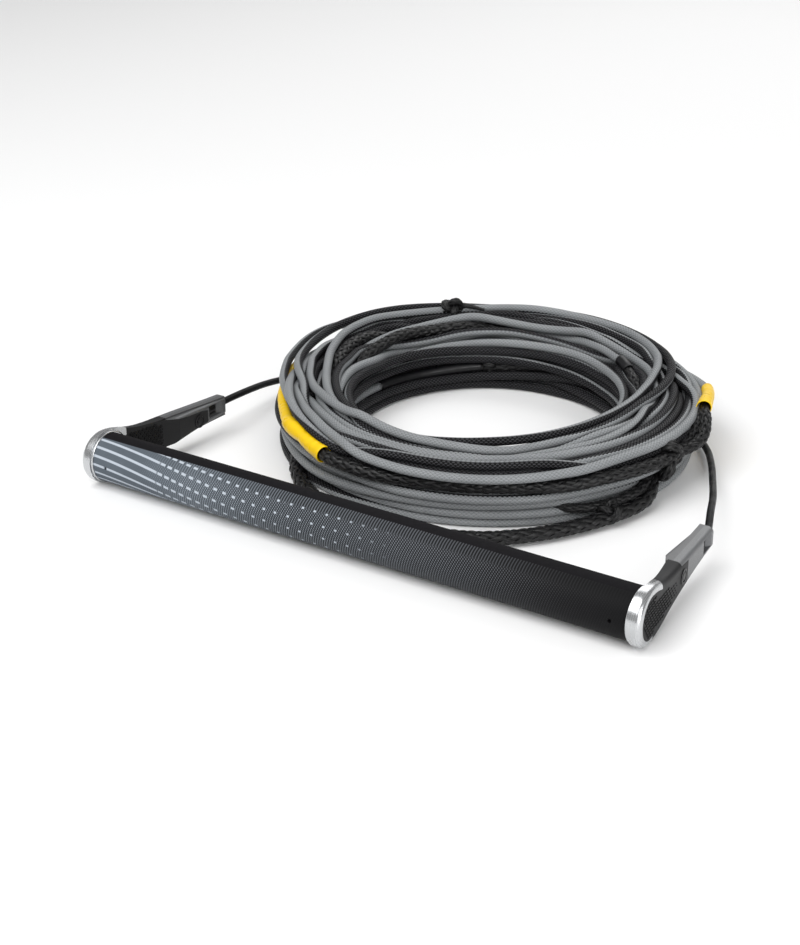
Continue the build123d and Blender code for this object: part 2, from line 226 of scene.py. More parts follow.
class Strand:
    """One rope in the coil: where it would lie at each slice, and how hard it keeps to that."""

    def __init__(self, keys, thickness, pull=DRAWN_PULL):
        keys = np.array(keys, float)
        if keys.shape[1] == 3:
            keys = np.column_stack([keys, np.full(len(keys), pull)])
        self.angles = self.slice_angles(keys[0, 0], keys[-1, 0])
        backwards = keys[-1, 0] < keys[0, 0]
        order = slice(None, None, -1 if backwards else 1)
        radius, height, pulls = [np.interp(self.angles, keys[order, 0], keys[order, i]) for i in (1, 2, 3)]
        self.target = np.stack([radius, height], 1)
        self.pull = pulls
        self.slices = np.round(self.angles / SLICE_ANGLE).astype(int) % SLICES
        self.radius = np.full(len(self.angles), thickness / 2 / MM)

    @staticmethod
    def slice_angles(start, end):
        first, last = round(start / SLICE_ANGLE), round(end / SLICE_ANGLE)
        step = 1 if last > first else -1
        return np.arange(first, last + step, step) * SLICE_ANGLE

    def points(self, start=-np.inf, end=np.inf):
        """The settled points in the frame, in millimetres, between two angles."""
        angle = np.radians(self.angles)
        x = COIL_X / MM + self.settled[:, 0] * np.cos(angle)
        y = COIL_Y / MM + self.settled[:, 0] * np.sin(angle)
        points = np.stack([x, y, self.settled[:, 1]], 1)
        low, high = min(start, end), max(start, end)
        return points[(self.angles >= low - TINY) & (self.angles <= high + TINY)]


def loose_places():
    """Places spread over the bundle's section, dense at its surface and empty in its core."""
    places = []
    for row, height in enumerate(ROW_HEIGHTS):
        for column in range(COLUMNS):
            if column in CORE_COLUMNS and row in CORE_ROWS:
                continue
            hollow = HOLLOW_DEPTH if column == 0 and row in HOLLOW_ROWS else 0
            radius = NEAREST_PLACE + COLUMN_PITCH * column + hollow
            places.append(np.array((min(radius, FARTHEST_PLACE + row), height)))
    return places


def place_order(places):
    """The places in an order that goes from each one to another near it."""
    order = [places.pop(FIRST_PLACE)]
    while places and len(order) < LOOSE_TURNS + 1:
        distance = [np.hypot(*(p - order[-1])) + RNG.uniform(0, PLACE_WANDER) for p in places]
        order.append(places.pop(int(np.argmin(distance))))
    return order


def loose_facing(radius, height):
    """Ways that a loose turn's grey half faces, as (share of the turn, turns)."""
    if height > TOP_HEIGHT:
        ways = FACINGS["top"]
    else:
        ways = FACINGS["outside" if radius > OUTSIDE_RADIUS else "inside"]
    pick = RNG.integers(len(ways))
    back, front = BACK_FACINGS[pick], ways[pick]
    first, second, third = RNG.normal(0, FACING_SPREAD, 3)
    return [(0.12, back + first), (0.4, back + second), (0.6, front + third), (0.95, front + third)]


def loose_turns():
    """Turns laid at random through the bundle, each one near the last and wandering about its place."""
    order = place_order(loose_places())
    keys, facing = [], []
    for turn in range(LOOSE_TURNS):
        facing += [(360 * (turn + share), way) for share, way in loose_facing(*order[turn])]
        change = RNG.uniform(0.15, 0.85)
        for share in KEY_SHARES:
            moved = np.clip((share - change) / CHANGE_LENGTH + 0.5, 0, 1)
            place = order[turn] * (1 - moved) + order[turn + 1] * moved + RNG.normal(0, KEY_WANDER, 2)
            lean = COIL_LEAN * math.cos(2 * math.pi * share - math.radians(COIL_LEAN_ANGLE))
            keys.append((360 * (turn + share), place[0] + lean, place[1], LOOSE_PULL))
    return keys, facing


def main_keys():
    """The tow rope from the loose turns below to the passages drawn for the upper turns.

    Also gives the way its grey half faces, as (angle, turns).
    """
    keys, facing = loose_turns()
    for passage, faces in PASSAGES:
        least = keys[-1][0] + PASSAGE_GAP
        shift = 360 * math.ceil((least - passage[0][0]) / 360)
        keys += [(angle + shift, radius, height, DRAWN_PULL) for angle, radius, height in passage]
        facing += zip(np.linspace(passage[0][0], passage[-1][0], len(faces)) + shift, faces)
    return keys, facing


PACK_ROUNDS = 460
PUSHES = 2  # times in a round that the strands are pushed apart
PUSH_LIMIT, PUSH_SHARE = 1.2, 0.7
PULL_FADE = 0.8  # how much weaker the pull to the target is in the last round
LATE = 0.85  # share of the rounds after which the smoothing is weaker
EASE, LATE_EASE = 0.45, 0.2
FLOOR_GAP = 0.1


def slice_table(slices):
    """The numbers of the points in each slice, filled up with the number of points."""
    deepest = np.bincount(slices, minlength=SLICES).max()
    table = np.full((SLICES, deepest), len(slices))
    for m in range(SLICES):
        found = np.flatnonzero(slices == m)
        table[m, :len(found)] = found
    return table


def least_distances(table, radius):
    """How far each two points of a slice have to be apart, and 0 where there is no pair."""
    used = table < len(radius)
    wide = np.append(radius, 0.0)[table]
    need = wide[:, :, None] + wide[:, None, :] + STRAND_GAP
    need[~(used[:, :, None] & used[:, None, :])] = 0
    own = np.arange(table.shape[1])
    need[:, own, own] = 0
    return need


def push_apart(places, table, need):
    far_off = (1e4, 1e4)
    at = np.vstack([places, far_off])[table]
    apart = at[:, :, None] - at[:, None, :]
    distance = np.maximum(np.linalg.norm(apart, axis=3), 1e-3)
    push = np.clip(need - distance, 0, None) / distance * 0.5
    move = (apart * push[..., None]).sum(2)
    used = table < len(places)
    places[table[used]] += np.clip(move[used], -PUSH_LIMIT, PUSH_LIMIT) * PUSH_SHARE


def pack(strands):
    """Moves the strands apart in each slice, and keeps each one smooth along its length."""
    target = np.concatenate([s.target for s in strands])
    places = target.copy()
    radius = np.concatenate([s.radius for s in strands])
    pull = np.concatenate([s.pull for s in strands])[:, None]
    starts = np.cumsum([0] + [len(s.target) for s in strands])
    inner = np.setdiff1d(np.arange(len(places)), np.concatenate([starts[:-1], starts[1:] - 1]))
    table = slice_table(np.concatenate([s.slices for s in strands]))
    need = least_distances(table, radius)
    low = radius + FLOOR_GAP
    for turn in range(PACK_ROUNDS):
        late = turn / PACK_ROUNDS
        places += pull * (1 - PULL_FADE * late) * (target - places)
        middle = (places[inner - 1] + places[inner + 1]) / 2
        places[inner] += (EASE if late < LATE else LATE_EASE) * (middle - places[inner])
        for _ in range(PUSHES):
            push_apart(places, table, need)
            places[:, 1] = np.maximum(places[:, 1], low)
            places[:, 0] = np.maximum(places[:, 0], INNER_WALL - INNER_MARGIN + low)
    for strand, first, last in zip(strands, starts, starts[1:]):
        strand.settled = places[first:last]


MAIN_KEYS, MAIN_FACING = main_keys()
MAIN = Strand(MAIN_KEYS, ROPE)
MAIN_END = MAIN_KEYS[-1][0]
MAIN_TO_SLEEVE = MAIN_END - INTO_SLEEVE[-1][0]
MAIN.radius[MAIN.angles > MAIN_TO_SLEEVE + SLEEVE_LEFT_FROM] = SLEEVE / 2 / MM
MAIN.radius[MAIN.angles > MAIN_TO_SLEEVE + SLEEVE_LEFT_TO] = BRAID / 2 / MM

# Shorter stretches of the rope's sections: bare braids and the sleeves that join them to the covered rope.
# They are packed a little thinner than they are made, because a braid gives way.
WIDE_SECTION, SLIM_SECTION = 7.4 * MM, 6.4 * MM
CORNER_SECTION = BRAID * 0.9
BACK_LINE = Strand([
    (222, 101, 15), (205, 95, 14), (190, 90.5, 13), (174, 89, 12), (150, 89, 11.5), (124, 89, 14),
    (107, 90, 16.5), (89, 91, 18), (68, 92, 21), (52, 96, 21),
], WIDE_SECTION)
HIGH_LINE = Strand([
    (152, 112, 24), (130, 101, 28), (112, 93, 30), (100, 91, 29.5), (86, 91, 29), (75, 92, 29),
    (62, 92, 28), (47, 97, 24),
], WIDE_SECTION)
RIGHT_LINE = Strand([
    (112, 103, 9), (92, 95, 9.5), (76, 91, 10), (64, 89, 10.5), (50, 90, 11), (34, 94, 12), (14, 99, 12),
], SLIM_SECTION)
UPPER_LINE = Strand([
    (104, 113, 29), (88, 107, 32), (76, 101, 35), (62, 95, 36), (52, 94, 34), (42, 95, 31), (30, 101, 27),
    (12, 107, 24),
], SLIM_SECTION)
CORNER_LINE = Strand([
    (98, 119, 27), (112, 112, 31), (128, 104, 35.5), (147, 98, 37), (160, 97, 36.5), (172, 96, 35),
    (181, 96, 31), (189, 95, 25), (198, 96, 18), (207, 99, 13),
], CORNER_SECTION)
CORNER_LOOP = Strand([
    (132, 119, 22), (144, 118, 27), (155, 115, 33), (165, 113, 36), (175, 110, 37), (183, 106, 36),
    (190, 101, 34), (197, 99, 29), (206, 101, 23),
], CORNER_SECTION)
BRIDLE_ROUND = {
    "right": Strand([(37.5, 129, 3), (75, 124, 3), (200, 116, 4), (390, 108, 6)], LINE, BRIDLE_PULL),
    "left": Strand([(157.5, 129, 3), (120, 124, 3), (0, 118, 4), (-195, 112, 5)], LINE, BRIDLE_PULL),
}
pack([MAIN, BACK_LINE, HIGH_LINE, RIGHT_LINE, UPPER_LINE, CORNER_LINE, CORNER_LOOP, *BRIDLE_ROUND.values()])


# ---- curves and tubes ----
TUBE_SIDES = 14
# Steps between the points of each kind of route.
ROPE_STEP, LINE_STEP, BRAID_ROUTE_STEP, SLEEVE_STEP = 3.4 * MM, 1.6 * MM, 1.5 * MM, 0.9 * MM


def spline_points(points_mm, samples):
    """Points in metres along the smooth NURBS spline whose control points are given in millimetres."""
    data = bpy.data.curves.new("route", "CURVE")
    data.dimensions = "3D"
    data.resolution_u = samples
    spline = data.splines.new("NURBS")
    spline.points.add(len(points_mm) - 1)
    for point, place in zip(spline.points, points_mm):
        point.co = (place[0] * MM, place[1] * MM, place[2] * MM, 1)
    spline.order_u = 3
    spline.use_endpoint_u = True
    curve = bpy.data.objects.new("route", data)
    bpy.context.scene.collection.objects.link(curve)
    mesh = bpy.data.meshes.new_from_object(curve)
    line = np.array([v.co for v in mesh.vertices])
    bpy.data.objects.remove(curve)
    bpy.data.curves.remove(data)
    bpy.data.meshes.remove(mesh)
    step = np.linalg.norm(np.diff(line, axis=0), axis=1)
    return line[np.concatenate([[True], step > TINY])]


def arc_length(line):
    return np.concatenate([[0], np.cumsum(np.linalg.norm(np.diff(line, axis=0), axis=1))])


def resample(line, spacing):
    """The same line with evenly spaced points."""
    along = arc_length(line)
    count = max(3, int(round(along[-1] / spacing)) + 1)
    even = np.linspace(0, along[-1], count)
    return np.stack([np.interp(even, along, line[:, i]) for i in range(3)], 1)


def frames_along(line):
    """Two directions across a line that turn with it without twisting."""
    along = np.gradient(line, axis=0)
    along /= np.linalg.norm(along, axis=1)[:, None]
    side = np.cross(along[0], (0, 0, 1.0))
    if np.linalg.norm(side) < 1e-3:
        side = np.cross(along[0], (1.0, 0, 0))
    sides = [side / np.linalg.norm(side)]
    for direction in along[1:]:
        side = sides[-1] - direction * (sides[-1] @ direction)
        sides.append(side / np.linalg.norm(side))
    sides = np.array(sides)
    return sides, np.cross(along, sides)


def level_frames(line):
    """Directions across a line that lies nearly flat: to its right, and down."""
    along = np.gradient(line, axis=0)
    side = np.cross(along, (0, 0, 1.0))
    side /= np.linalg.norm(side, axis=1)[:, None]
    down = np.cross(along, side)
    return side, down / np.linalg.norm(down, axis=1)[:, None]


def mesh_object(name, vertices, faces, material, uvs=None):
    """A smooth-shaded mesh; uvs hold one pair for each corner of each face."""
    mesh = bpy.data.meshes.new(name)
    mesh.from_pydata([tuple(v) for v in vertices], [], [tuple(f) for f in faces])
    if uvs is not None:
        layer = mesh.uv_layers.new(name="UVMap")
        layer.data.foreach_set("uv", np.asarray(uvs, np.float32).ravel())
    mesh.shade_smooth()
    mesh.validate()
    mesh.materials.append(material)
    piece = bpy.data.objects.new(name, mesh)
    bpy.context.scene.collection.objects.link(piece)
    return piece


def ring_faces(n_rings, n):
    """Quads between successive rings, and the ring and corner numbers that their UVs need."""
    i, j = np.meshgrid(np.arange(n_rings - 1), np.arange(n), indexing="ij")
    k = (j + 1) % n
    faces = np.stack([i * n + j, i * n + k, (i + 1) * n + k, (i + 1) * n + j], -1).reshape(-1, 4)
    return faces, i, j


def ring_uvs(v, i, j, n):
    corner_u = np.stack([j, j + 1, j + 1, j], -1) / n
    corner_v = np.stack([v[i], v[i], v[i + 1], v[i + 1]], -1)
    return np.stack([corner_u, corner_v], -1).reshape(-1, 2)


def circle(sides, radius=1.0):
    turn = np.arange(sides) * 2 * math.pi / sides
    return np.stack([np.cos(turn), np.sin(turn)], 1) * radius


def carried(line, across, section):
    """Rings of points: a section, (points, 2) or (rings, points, 2), at each point of a line."""
    side, up = across
    return line[:, None] + section[..., :1] * side[:, None] + section[..., 1:] * up[:, None]


def sweep(line, section, frames=frames_along):
    """Vertices, faces and UVs of a section carried along a line."""
    rings = carried(line, frames(line), section)
    faces, i, j = ring_faces(*rings.shape[:2])
    return rings.reshape(-1, 3), faces, ring_uvs(arc_length(line), i, j, rings.shape[1])


def closed(vertices, faces, uvs, sides):
    """Adds a centre point and a fan of triangles at both ends of a tube."""
    first, last = len(vertices), len(vertices) - sides
    vertices = np.vstack([vertices, vertices[:sides].mean(0), vertices[-sides:].mean(0)])
    faces = [tuple(f) for f in faces]
    uvs = [tuple(uv) for uv in uvs]
    for j in range(sides):
        k = (j + 1) % sides
        faces += [(first, k, j), (first + 1, last + j, last + k)]
        uvs += [(0.5, 0)] * 6
    return vertices, faces, uvs


def tube(name, line, radius, material, turns=None, frames=frames_along):
    """A closed round tube; turns shifts the UVs round it."""
    vertices, faces, uvs = sweep(line, circle(TUBE_SIDES, radius), frames)
    if turns is not None:
        uvs[:, 0] += np.interp(uvs[:, 1], arc_length(line), turns)
    vertices, faces, uvs = closed(vertices, faces, uvs, TUBE_SIDES)
    return mesh_object(name, vertices, faces, material, uvs)


# ---- bare braid ----
CARRIERS = 12  # strands in the hollow braid, half of them each way
BRAID_PITCH = 6.2  # diameters for one turn of a strand
BRAID_FLATTEN = 0.86
# A strand's rise over the others, half width and half thickness, and the step along it, in diameters.
BRAID_LIFT, BRAID_WIDTH, BRAID_THICKNESS, BRAID_STEP = 0.05, 0.155, 0.07, 0.13
UNEVEN, UNEVEN_LENGTH = 0.05, 0.012


def braid_strand(line, across, out_turn, reach, section):
    """Rings of a flat strand that runs round the line, turned to lie against it."""
    side, up = across
    out = side * np.cos(out_turn)[:, None] + up * (BRAID_FLATTEN * np.sin(out_turn))[:, None]
    middle = line + out * reach[:, None]
    tangent = np.gradient(middle, axis=0)
    tangent /= np.linalg.norm(tangent, axis=1)[:, None]
    out /= np.linalg.norm(out, axis=1)[:, None]
    return carried(middle, (np.cross(tangent, out), out), section)


def braid(name, line, diameter, spread=None):
    """A bare hollow braid: flat strands that wind both ways and pass over and under each other.

    spread is (shares of the length, factors) where the braid is wider or narrower than its diameter.
    """
    line = resample(line, diameter * BRAID_STEP)
    across = frames_along(line)
    v = arc_length(line)
    scale = np.ones(len(line)) if spread is None else np.interp(v / v[-1], *spread)
    lift, thick = diameter * BRAID_LIFT, diameter * BRAID_THICKNESS
    base = diameter / 2 - thick - lift
    section = circle(8) * (diameter * BRAID_WIDTH, thick)
    half = CARRIERS // 2
    run = v / (diameter * BRAID_PITCH)
    loose = np.random.default_rng(len(line))
    uneven_at = np.linspace(0, v[-1], 2 + int(v[-1] / UNEVEN_LENGTH))
    core = sweep(line, circle(10, base - 0.4 * thick)[None] * scale[:, None, None] * (1, BRAID_FLATTEN))
    vertices, faces, uvs = [], [], []
    for direction in (1, -1):
        for carrier in range(half):
            wander = np.interp(v, uneven_at, loose.normal(0, UNEVEN, len(uneven_at)))
            turn = direction * 2 * math.pi * (run + carrier / half) + wander
            weave = direction * np.sin(half * 2 * math.pi * run + math.pi / 2)
            reach = (base + lift * weave * (1 + 0.6 * wander)) * scale
            rings = braid_strand(line, across, turn, reach, section)
            strand_faces, i, j = ring_faces(*rings.shape[:2])
            faces.append(strand_faces + len(vertices) * rings.shape[0] * rings.shape[1])
            vertices.append(rings.reshape(-1, 3))
            uvs.append(ring_uvs(v, i, j, rings.shape[1]))
    faces.append(core[1] + sum(len(part) for part in vertices))
    vertices.append(core[0])
    uvs.append(core[2])
    return mesh_object(name, np.vstack(vertices), np.vstack(faces), BARE_BRAID, np.vstack(uvs))


# ---- materials ----
class Graph:
    """Short ways to write a material's nodes."""

    def __init__(self, name, base=(0.8, 0.8, 0.8), roughness=0.5, **sockets):
        self.material = bpy.data.materials.new(name)
        self.material.use_nodes = True
        self.tree = self.material.node_tree
        self.shader = self.tree.nodes["Principled BSDF"]
        self.set(self.shader, "Base Color", (*base, 1))
        self.set(self.shader, "Roughness", roughness)
        for socket, value in sockets.items():
            self.set(self.shader, socket.replace("_", " "), value)

    def set(self, node, socket, value):
        target = node.inputs[socket]
        if isinstance(value, bpy.types.NodeSocket):
            self.tree.links.new(value, target)
        else:
            target.default_value = value

    def node(self, kind, inputs=(), output=0, **props):
        made = self.tree.nodes.new(kind)
        for name, value in props.items():
            setattr(made, name, value)
        for key, value in dict(inputs).items():
            self.set(made, key, value)
        return made.outputs[output]

    def math(self, operation, *values):
        return self.node("ShaderNodeMath", enumerate(values), operation=operation)

    def add(self, a, b):
        return self.math("ADD", a, b)

    def times(self, a, b):
        return self.math("MULTIPLY", a, b)

    def step(self, value, low, high, out_low=0.0, out_high=1.0):
        """A smooth rise from out_low to out_high as value goes from low to high."""
        inputs = {"Value": value, "From Min": low, "From Max": high, "To Min": out_low, "To Max": out_high}
        return self.node("ShaderNodeMapRange", inputs, interpolation_type="SMOOTHSTEP")

    def mix(self, factor, a, b, blend_type="MIX"):
        a, b = [(*c, 1) if isinstance(c, tuple) else c for c in (a, b)]
        inputs = {0: factor, 6: a, 7: b}
        return self.node("ShaderNodeMix", inputs, output=2, data_type="RGBA", blend_type=blend_type)

    def mix_value(self, factor, a, b):
        return self.node("ShaderNodeMix", {0: factor, 2: a, 3: b}, data_type="FLOAT")

    def minus(self, a, b):
        return self.math("SUBTRACT", a, b)

    def split(self, output):
        node = self.tree.nodes.new("ShaderNodeSeparateXYZ")
        self.set(node, 0, self.node("ShaderNodeTexCoord", output=output))
        return node.outputs

    def uv(self):
        u, v, _ = self.split(2)
        return u, v

    def place(self):
        return self.split(3)

    def noise(self, scale, detail=3.0):
        vector = self.node("ShaderNodeTexCoord", output=3)
        return self.node("ShaderNodeTexNoise", {"Vector": vector, "Scale": scale, "Detail": detail})

    def stretched_noise(self, scales, detail=2.0):
        """Noise along the UVs, with one scale round the cord and one along it."""
        u, v = self.uv()
        vector = self.node("ShaderNodeCombineXYZ", {0: self.times(u, scales[0]), 1: self.times(v, scales[1])})
        return self.node("ShaderNodeTexNoise", {"Vector": vector, "Scale": 1.0, "Detail": detail})

    def bump(self, height, distance, strength=1.0):
        normal = self.node("ShaderNodeBump", {"Height": height, "Distance": distance, "Strength": strength})
        self.set(self.shader, "Normal", normal)

    def colour(self, value):
        self.set(self.shader, "Base Color", value)

    def roughness(self, value):
        self.set(self.shader, "Roughness", value)


def rope_cover():
    """Two-tone braid: grey on one half, black on the other, with a toothed border; painted glints on the tops
    of the black threads, and painted shade in the grooves of the weave.
    """
    g = Graph("rope_cover", roughness=0.42, Specular_IOR_Level=0.14)
    u, v = g.uv()
    plaits, pitch = 8.0, 2.7 * MM
    turn = g.times(u, plaits)
    run = g.math("DIVIDE", v, pitch)
    one = g.math("FRACT", g.add(turn, run))
    two = g.math("FRACT", g.minus(turn, run))
    ridge_one = g.math("SINE", g.times(one, math.pi))
    ridge_two = g.math("SINE", g.times(two, math.pi))
    over_one = g.times(ridge_one, g.step(two, 0.0, 0.5))
    over_two = g.times(ridge_two, g.step(one, 0.0, 0.5))
    height = g.math("MAXIMUM", over_one, over_two)
    tooth = g.times(g.minus(g.math("PINGPONG", run, 0.5), 0.25), 0.07)
    around = g.math("FRACT", g.add(u, tooth))
    grey = g.step(g.math("ABSOLUTE", g.minus(around, 0.5)), 0.245, 0.255)
    tone = g.mix(g.noise(30.0), (0.20, 0.211, 0.219), (0.28, 0.293, 0.302))
    # painted glints: the tops of the black threads are painted lighter grey
    black_with_painted_glints = g.mix(g.step(height, 0.7, 1.0), (0.0015, 0.0015, 0.002), (0.05, 0.05, 0.054))
    base = g.mix(grey, black_with_painted_glints, tone)
    # painted shade: the colour is darkened in the grooves between the plaits, on both halves
    painted_groove_shade = g.step(height, 0.1, 0.7, 0.62, 1.0)
    g.colour(g.mix(1.0, base, painted_groove_shade, "MULTIPLY"))
    g.roughness(g.step(height, 0.2, 1.0, 0.6, 0.33))
    g.set(g.shader, "Specular IOR Level", g.step(grey, 0.0, 1.0, 0.1, 0.45))
    g.bump(height, 0.35 * MM, 1.0)
    return g.material


def fibre(base, gloss=0.3):
    """Bundles of bare fibre, with fine threads along each strand, and painted glints on the threads' tops."""
    g = Graph("bare_braid", base=base, roughness=gloss, Specular_IOR_Level=0.4)
    threads_and_glints = g.stretched_noise((26.0, 160.0))
    # painted glints: the thread tops take a colour 18 times the base, and the rest 0.3 times it
    dull = tuple(0.3 * c for c in base)
    bright = tuple(18 * c for c in base)
    g.colour(g.mix(g.step(threads_and_glints, 0.58, 0.8), dull, bright))
    g.roughness(g.step(g.noise(220.0), 0.3, 0.7, gloss, gloss + 0.2))
    g.bump(threads_and_glints, 0.25 * MM, 0.8)
    return g.material


def coated_line():
    """Fine, tight weave under a satin coating."""
    g = Graph("coated_line", roughness=0.38, Specular_IOR_Level=0.1)
    u, v = g.uv()
    run = g.times(v, 2 * math.pi / (1.9 * MM))
    turn = g.times(u, 2 * math.pi * 8)
    weave = g.times(g.math("SINE", g.add(run, turn)), g.math("SINE", g.minus(run, turn)))
    g.colour(g.mix(g.noise(60.0), (0.003, 0.003, 0.0035), (0.007, 0.007, 0.008)))
    g.roughness(g.step(g.noise(90.0), 0.3, 0.7, 0.3, 0.5))
    g.bump(weave, 0.1 * MM, 0.5)
    return g.material


def shrink_sleeve(name, base, ripple):
    """Shrunk plastic tube with soft ripples where it has drawn over the rope below."""
    g = Graph(name, base=base, roughness=0.34, Specular_IOR_Level=0.3)
    soft = g.noise(190.0, 2.0)
    rings = g.stretched_noise((3.0, 330.0), 1.0)
    g.colour(g.mix(g.noise(60.0), tuple(0.8 * c for c in base), tuple(min(1.0, 1.08 * c) for c in base)))
    g.roughness(g.step(soft, 0.3, 0.7, 0.27, 0.45))
    g.bump(g.add(soft, g.times(rings, 0.7)), ripple, 0.5)
    return g.material


# The grip's print, in millimetres: x along the bar from its middle, and s round it, upwards from its front.
PRINT_TOP, PRINT_BOTTOM, PRINT_EDGE = 18.3, -40.0, 0.15
FAN_FROM, FAN_TO = -185.0, -40.0  # between these the rows of stripes spread
ROW_SPACING, ROW_SPREAD = 5.3, 1.7
FIRST_ROW, FIRST_ROW_DROP = 22.1, 10.9
DASHES_FROM = -128.0
DASH_PITCH, DASH_GROWTH, GROWTH_LENGTH = 5.0, 3.0, 90.0
EVEN_FROM = DASHES_FROM + GROWTH_LENGTH
KNIT_PITCH, KNIT_PITCH_ROUND = 1.75, 2.1


def inside_print(g, s):
    """The print ends at a straight border above the front, and plain foam goes on behind it."""
    top = g.step(s, PRINT_TOP + PRINT_EDGE, PRINT_TOP - PRINT_EDGE)
    return g.times(top, g.step(s, PRINT_BOTTOM - PRINT_EDGE, PRINT_BOTTOM + PRINT_EDGE))


def grip_dashes(g, x):
    """How far x is from the middle of its dash; the pitch grows to the right, and then stays even."""
    past = g.math("MAXIMUM", g.minus(x, DASHES_FROM), 0.0)
    growth = g.times(g.math("MINIMUM", past, GROWTH_LENGTH), DASH_GROWTH / GROWTH_LENGTH)
    pitch = g.add(DASH_PITCH, growth)
    run = g.times(g.math("LOGARITHM", g.times(pitch, 1 / DASH_PITCH), math.e), GROWTH_LENGTH / DASH_GROWTH)
    even = g.math("FRACT", g.math("DIVIDE", g.minus(x, EVEN_FROM), DASH_PITCH + DASH_GROWTH))
    beat = g.mix_value(g.step(x, EVEN_FROM - 1, EVEN_FROM), g.math("FRACT", run), even)
    return g.times(g.math("ABSOLUTE", g.minus(beat, 0.5)), pitch)


def grip_stripes(g, x, s):
    """Stripes that fan out from the left end, break into dashes and dots, and stop past the middle."""
    fan = g.step(x, FAN_FROM, FAN_TO)
    spacing = g.add(ROW_SPACING, g.times(fan, ROW_SPREAD))
    first = g.minus(FIRST_ROW, g.times(fan, FIRST_ROW_DROP))
    row = g.math("DIVIDE", g.minus(first, s), spacing)
    across = g.times(g.math("ABSOLUTE", g.minus(row, g.math("ROUND", row))), spacing)
    dash = g.step(x, DASHES_FROM - 2, -30.0, 1.75, 0.75)
    dashed = g.step(grip_dashes(g, x), g.add(dash, 0.2), g.minus(dash, 0.2))
    broken = g.math("MAXIMUM", dashed, g.step(x, DASHES_FROM + 1, DASHES_FROM - 1))
    thin = g.step(x, -120.0, 20.0, 0.74, 0.5)
    line = g.times(g.step(across, g.add(thin, 0.18), g.minus(thin, 0.18)), broken)
    return g.times(line, g.times(g.step(x, 45.0, -20.0), g.step(row, -0.45, -0.5, 1.0, 0.0)))


def grip_knit(g, x, s):
    """Knitted dots on the front and ribs above it, strongest in the middle and gone at both ends."""
    knit_x = g.times(x, 2 * math.pi / KNIT_PITCH)
    knit_s = g.times(s, 2 * math.pi / KNIT_PITCH_ROUND)
    knit = g.math("SINE", g.add(knit_x, g.times(knit_s, 0.5)))
    knit = g.times(knit, g.math("SINE", g.minus(knit_s, g.times(knit_x, 0.15))))
    ribs = g.step(g.math("SINE", knit_x), -0.2, 0.6)
    texture = g.mix_value(g.step(s, 9.5, 13.0), g.step(knit, -0.1, 0.5), g.times(ribs, 0.6))
    return g.times(texture, g.times(g.step(x, -150.0, -95.0), g.step(x, 190.0, 90.0)))


def grip_field(g, x, texture):
    """Blue-grey that turns black to the right, with lighter threads in it."""
    left = g.mix(g.noise(70.0), (0.070, 0.084, 0.100), (0.100, 0.117, 0.136))
    field = g.mix(g.step(x, -160.0, -20.0), left, (0.012, 0.013, 0.015))
    field = g.mix(g.step(x, -10.0, 120.0), field, (0.004, 0.004, 0.0045))
    lit = g.mix(g.step(x, -150.0, 60.0), (0.24, 0.272, 0.31), (0.13, 0.14, 0.155))
    lit = g.mix(g.step(x, 30.0, 150.0), lit, (0.032, 0.032, 0.035))
    return g.mix(g.times(texture, 0.9), field, lit)


def foam_grip():
    """The grip's cover: stripes over a knitted field in front, and plain foam behind."""
    g = Graph("grip_print", roughness=0.72, Specular_IOR_Level=0.1)
    x, y, z = g.place()
    x = g.times(x, 1 / MM)
    s = g.times(g.math("ARCTAN2", g.minus(z, BAR_Z), g.minus(BAR_Y, y)), GRIP_RADIUS / MM)
    printed = inside_print(g, s)
    texture = grip_knit(g, x, s)
    field = g.mix(grip_stripes(g, x, s), grip_field(g, x, texture), (0.40, 0.44, 0.49))
    plain = g.mix(g.noise(500.0), (0.003, 0.003, 0.0035), (0.009, 0.008, 0.010))
    g.colour(g.mix(printed, plain, field))
    g.roughness(g.mix_value(printed, 0.82, g.step(texture, 0.0, 1.0, 0.62, 0.5)))
    g.bump(g.add(g.times(g.noise(2600.0, 2.0), 0.5), g.times(texture, printed)), 0.12 * MM, 0.7)
    return g.material


def polished_alloy():
    """Bright metal with a fine grain."""
    bright = (0.60, 0.61, 0.62)
    g = Graph("polished_alloy", base=bright, roughness=0.3, Metallic=1.0)
    x, y, z = g.place()
    vector = g.node("ShaderNodeCombineXYZ", {0: g.times(x, 3000.0), 1: g.times(y, 90.0), 2: g.times(z, 90.0)})
    grain = g.node("ShaderNodeTexNoise", {"Vector": vector, "Scale": 1.0, "Detail": 3.0})
    g.colour(g.mix(grain, (0.50, 0.51, 0.52), bright))
    g.roughness(g.step(grain, 0.3, 0.7, 0.22, 0.3))
    g.bump(grain, 0.02 * MM, 0.15)
    return g.material


def moulded(name, low, high, roughness, grain=900.0, depth=0.05, shine=0.2):
    """Moulded nylon or rubber: fine spark-eroded grain, with a slightly uneven tone and shine."""
    g = Graph(name, roughness=roughness, Specular_IOR_Level=shine)
    g.colour(g.mix(g.noise(40.0), low, high))
    g.roughness(g.step(g.noise(25.0), 0.3, 0.7, roughness - 0.07, roughness + 0.08))
    g.bump(g.noise(grain), depth * MM, 0.6)
    return g.material


def flecked_nylon(name, tone):
    """The grey tip shells: satin grey with bright metallic flecks."""
    g = Graph(name, roughness=0.33, Metallic=0.35, Specular_IOR_Level=0.3)
    flecks = g.step(g.noise(2400.0, 1.0), 0.60, 0.72)
    uneven = g.mix(g.noise(35.0), tuple(0.88 * c for c in tone), tuple(1.12 * c for c in tone))
    g.colour(g.mix(flecks, uneven, tuple(2.1 * c for c in tone)))
    g.roughness(g.step(flecks, 0.0, 1.0, 0.36, 0.24))
    g.bump(g.noise(1500.0, 2.0), 0.03 * MM, 0.5)
    return g.material


